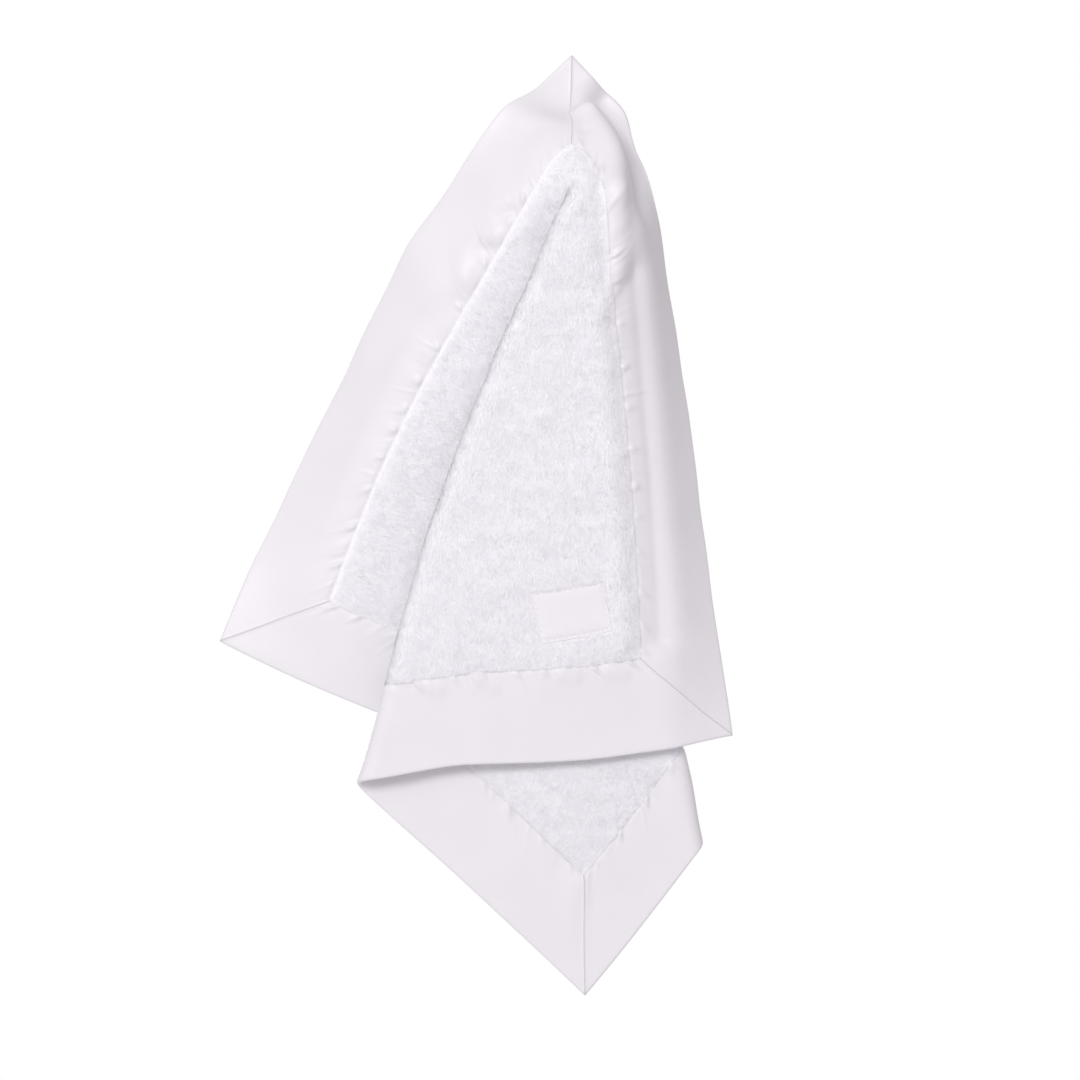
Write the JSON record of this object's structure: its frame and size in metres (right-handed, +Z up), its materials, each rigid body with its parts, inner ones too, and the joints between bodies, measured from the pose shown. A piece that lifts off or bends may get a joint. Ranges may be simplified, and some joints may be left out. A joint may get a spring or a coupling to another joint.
{
  "type": "comfort blanket",
  "caption": "Square comfort blanket in soft plush with a wide satin border and mitred corners, hanging folded from one corner, with a blank sewn label.",
  "frame": {"origin": "the place near the top corner where the blanket is held, in the middle of its thickness", "axes": "+Z up, the front with the label faces -Y, +X to the right seen from the front"},
  "size_m": [0.3018, 0.0855, 0.5518],
  "materials": {
    "plush": "soft short pile",
    "satin": "satin sheen",
    "label": "woven, blank"
  },
  "bodies": {
    "root": {"plush_front": "plush", "plush_back": "plush", "binding_left": "satin", "binding_right": "satin", "binding_rear": "satin", "binding_front": "satin", "label": "label"}
  },
  "joints": []
}
